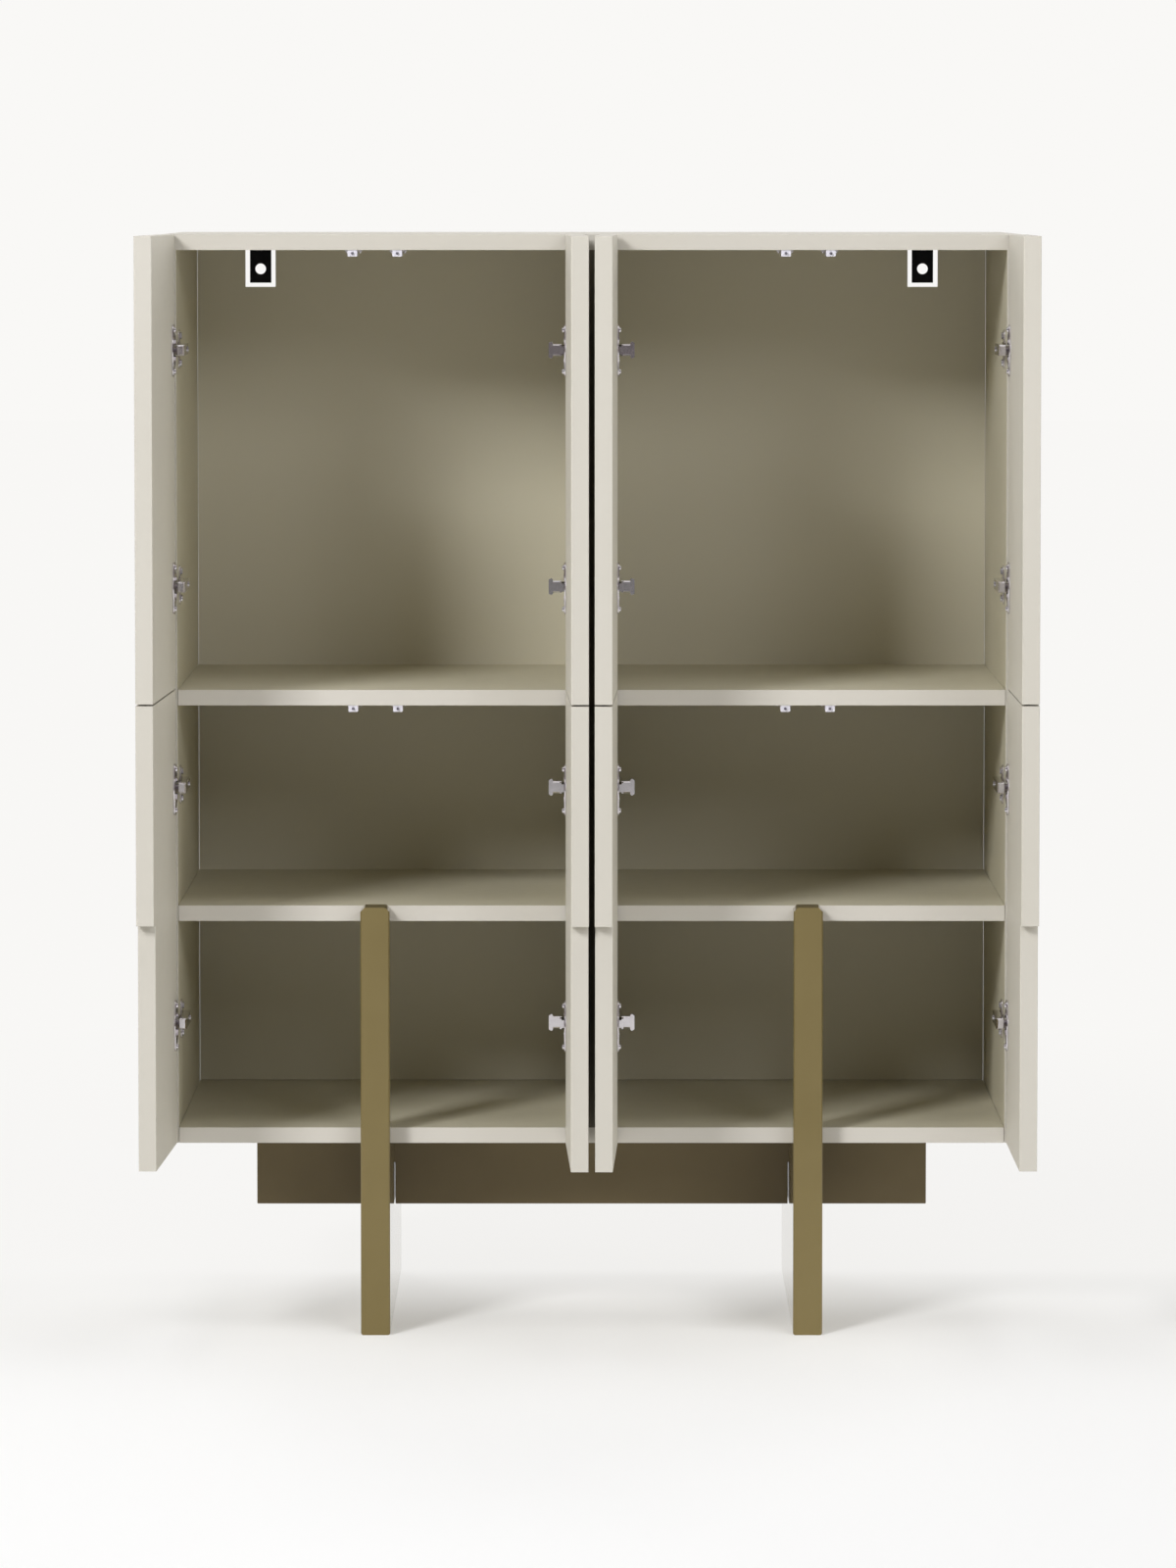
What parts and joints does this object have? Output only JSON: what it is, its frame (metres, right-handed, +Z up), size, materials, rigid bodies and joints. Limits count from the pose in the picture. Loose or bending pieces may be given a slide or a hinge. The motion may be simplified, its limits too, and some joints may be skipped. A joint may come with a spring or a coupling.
{
  "type": "highboard",
  "caption": "Lacquered highboard with two columns of push-to-open doors on concealed hinges, carried by two bronze slab legs and a cross beam.",
  "frame": {"origin": "on the floor, midway between the sides and midway between the front edges of the open doors and the back of the carcass", "axes": "+X to the right as seen from the front, +Y from the front towards the wall, +Z up"},
  "size_m": [1.0188, 0.6753, 1.28],
  "materials": {
    "lacquer": "fibreboard under a smooth greige matt lacquer, edges lacquered as the faces",
    "bronze": "olive bronze metallic, satin front edges and smooth reflecting sides",
    "dark_bronze": "dark bronze metallic lacquer, satin",
    "nickel": "bright nickel plated pressings with rounded edges",
    "steel": "zinc plated",
    "black_steel": "black powder coat",
    "pale_plastic": "moulded pale grey plastic",
    "dark_plastic": "moulded dark grey plastic",
    "beech": "plain beech"
  },
  "bodies": {
    "carcass": {"side_panel_left": "lacquer", "side_panel_right": "lacquer", "top_panel": "lacquer", "bottom_panel": "lacquer", "centre_partition": "lacquer", "back_panel_left": "lacquer", "back_panel_right": "lacquer", "upper_shelf_left": "lacquer", "upper_shelf_right": "lacquer", "middle_shelf_left": "lacquer", "middle_shelf_right": "lacquer", "carcass_dowels": "beech", "leg_left": "bronze", "leg_right": "bronze", "cross_beam": "dark_bronze", "leg_studs": "steel", "wall_bracket_left": "black_steel", "wall_bracket_right": "black_steel", "wall_bracket_screws": "black_steel", "hinge_arms_left_outer": "nickel", "hinge_arms_left_inner": "nickel", "hinge_arms_right_inner": "nickel", "hinge_arms_right_outer": "nickel", "hinge_plates_outer": "nickel", "hinge_plates_inner": "nickel", "hinge_plate_screws": "nickel", "hinge_arm_screws": "nickel", "catch_housings": "pale_plastic", "catch_screws": "steel"},
    "door_upper_left_outer": {"door_upper_left_outer": "lacquer", "cups_upper_left_outer": "nickel"},
    "door_upper_left_inner": {"door_upper_left_inner": "lacquer", "cups_upper_left_inner": "nickel"},
    "door_upper_right_inner": {"door_upper_right_inner": "lacquer", "cups_upper_right_inner": "nickel"},
    "door_upper_right_outer": {"door_upper_right_outer": "lacquer", "cups_upper_right_outer": "nickel"},
    "door_lower_left_outer": {"door_lower_left_outer": "lacquer", "cups_lower_left_outer": "nickel"},
    "door_lower_left_inner": {"door_lower_left_inner": "lacquer", "cups_lower_left_inner": "nickel"},
    "door_lower_right_inner": {"door_lower_right_inner": "lacquer", "cups_lower_right_inner": "nickel"},
    "door_lower_right_outer": {"door_lower_right_outer": "lacquer", "cups_lower_right_outer": "nickel"},
    "plunger_upper_left_outer": {"plunger_upper_left_outer": "dark_plastic"},
    "plunger_upper_left_inner": {"plunger_upper_left_inner": "dark_plastic"},
    "plunger_upper_right_inner": {"plunger_upper_right_inner": "dark_plastic"},
    "plunger_upper_right_outer": {"plunger_upper_right_outer": "dark_plastic"},
    "plunger_lower_left_outer": {"plunger_lower_left_outer": "dark_plastic"},
    "plunger_lower_left_inner": {"plunger_lower_left_inner": "dark_plastic"},
    "plunger_lower_right_inner": {"plunger_lower_right_inner": "dark_plastic"},
    "plunger_lower_right_outer": {"plunger_lower_right_outer": "dark_plastic"}
  },
  "joints": [
    {"name": "hinge_upper_left_outer", "type": "hinge", "parent": "carcass", "child": "door_upper_left_outer", "pos_m": [-0.492, -0.0935, 1.0165], "axis": [0, 0, 1], "range_deg": [-12, 92.4]},
    {"name": "hinge_upper_left_inner", "type": "hinge", "parent": "carcass", "child": "door_upper_left_inner", "pos_m": [-0.014, -0.1015, 1.0165], "axis": [0, 0, -1], "range_deg": [0, 91.7]},
    {"name": "hinge_upper_right_inner", "type": "hinge", "parent": "carcass", "child": "door_upper_right_inner", "pos_m": [0.014, -0.1015, 1.0165], "axis": [0, 0, 1], "range_deg": [0, 91.6]},
    {"name": "hinge_upper_right_outer", "type": "hinge", "parent": "carcass", "child": "door_upper_right_outer", "pos_m": [0.492, -0.0935, 1.0165], "axis": [0, 0, -1], "range_deg": [-14, 90.2]},
    {"name": "hinge_lower_left_outer", "type": "hinge", "parent": "carcass", "child": "door_lower_left_outer", "pos_m": [-0.492, -0.0935, 0.486], "axis": [0, 0, 1], "range_deg": [-12, 92.4]},
    {"name": "hinge_lower_left_inner", "type": "hinge", "parent": "carcass", "child": "door_lower_left_inner", "pos_m": [-0.014, -0.1015, 0.486], "axis": [0, 0, -1], "range_deg": [0, 91.7]},
    {"name": "hinge_lower_right_inner", "type": "hinge", "parent": "carcass", "child": "door_lower_right_inner", "pos_m": [0.014, -0.1015, 0.486], "axis": [0, 0, 1], "range_deg": [0, 91.6]},
    {"name": "hinge_lower_right_outer", "type": "hinge", "parent": "carcass", "child": "door_lower_right_outer", "pos_m": [0.492, -0.0935, 0.486], "axis": [0, 0, -1], "range_deg": [-14, 90.2]},
    {"name": "push_upper_left_outer", "type": "slide", "parent": "carcass", "child": "plunger_upper_left_outer", "axis": [0, 1, 0], "range_m": [-0.008, 0.002], "stiffness_N_per_m": 400},
    {"name": "push_upper_left_inner", "type": "slide", "parent": "carcass", "child": "plunger_upper_left_inner", "axis": [0, 1, 0], "range_m": [-0.008, 0.002], "stiffness_N_per_m": 400},
    {"name": "push_upper_right_inner", "type": "slide", "parent": "carcass", "child": "plunger_upper_right_inner", "axis": [0, 1, 0], "range_m": [-0.008, 0.002], "stiffness_N_per_m": 400},
    {"name": "push_upper_right_outer", "type": "slide", "parent": "carcass", "child": "plunger_upper_right_outer", "axis": [0, 1, 0], "range_m": [-0.008, 0.002], "stiffness_N_per_m": 400},
    {"name": "push_lower_left_outer", "type": "slide", "parent": "carcass", "child": "plunger_lower_left_outer", "axis": [0, 1, 0], "range_m": [-0.008, 0.002], "stiffness_N_per_m": 400},
    {"name": "push_lower_left_inner", "type": "slide", "parent": "carcass", "child": "plunger_lower_left_inner", "axis": [0, 1, 0], "range_m": [-0.008, 0.002], "stiffness_N_per_m": 400},
    {"name": "push_lower_right_inner", "type": "slide", "parent": "carcass", "child": "plunger_lower_right_inner", "axis": [0, 1, 0], "range_m": [-0.008, 0.002], "stiffness_N_per_m": 400},
    {"name": "push_lower_right_outer", "type": "slide", "parent": "carcass", "child": "plunger_lower_right_outer", "axis": [0, 1, 0], "range_m": [-0.008, 0.002], "stiffness_N_per_m": 400}
  ]
}
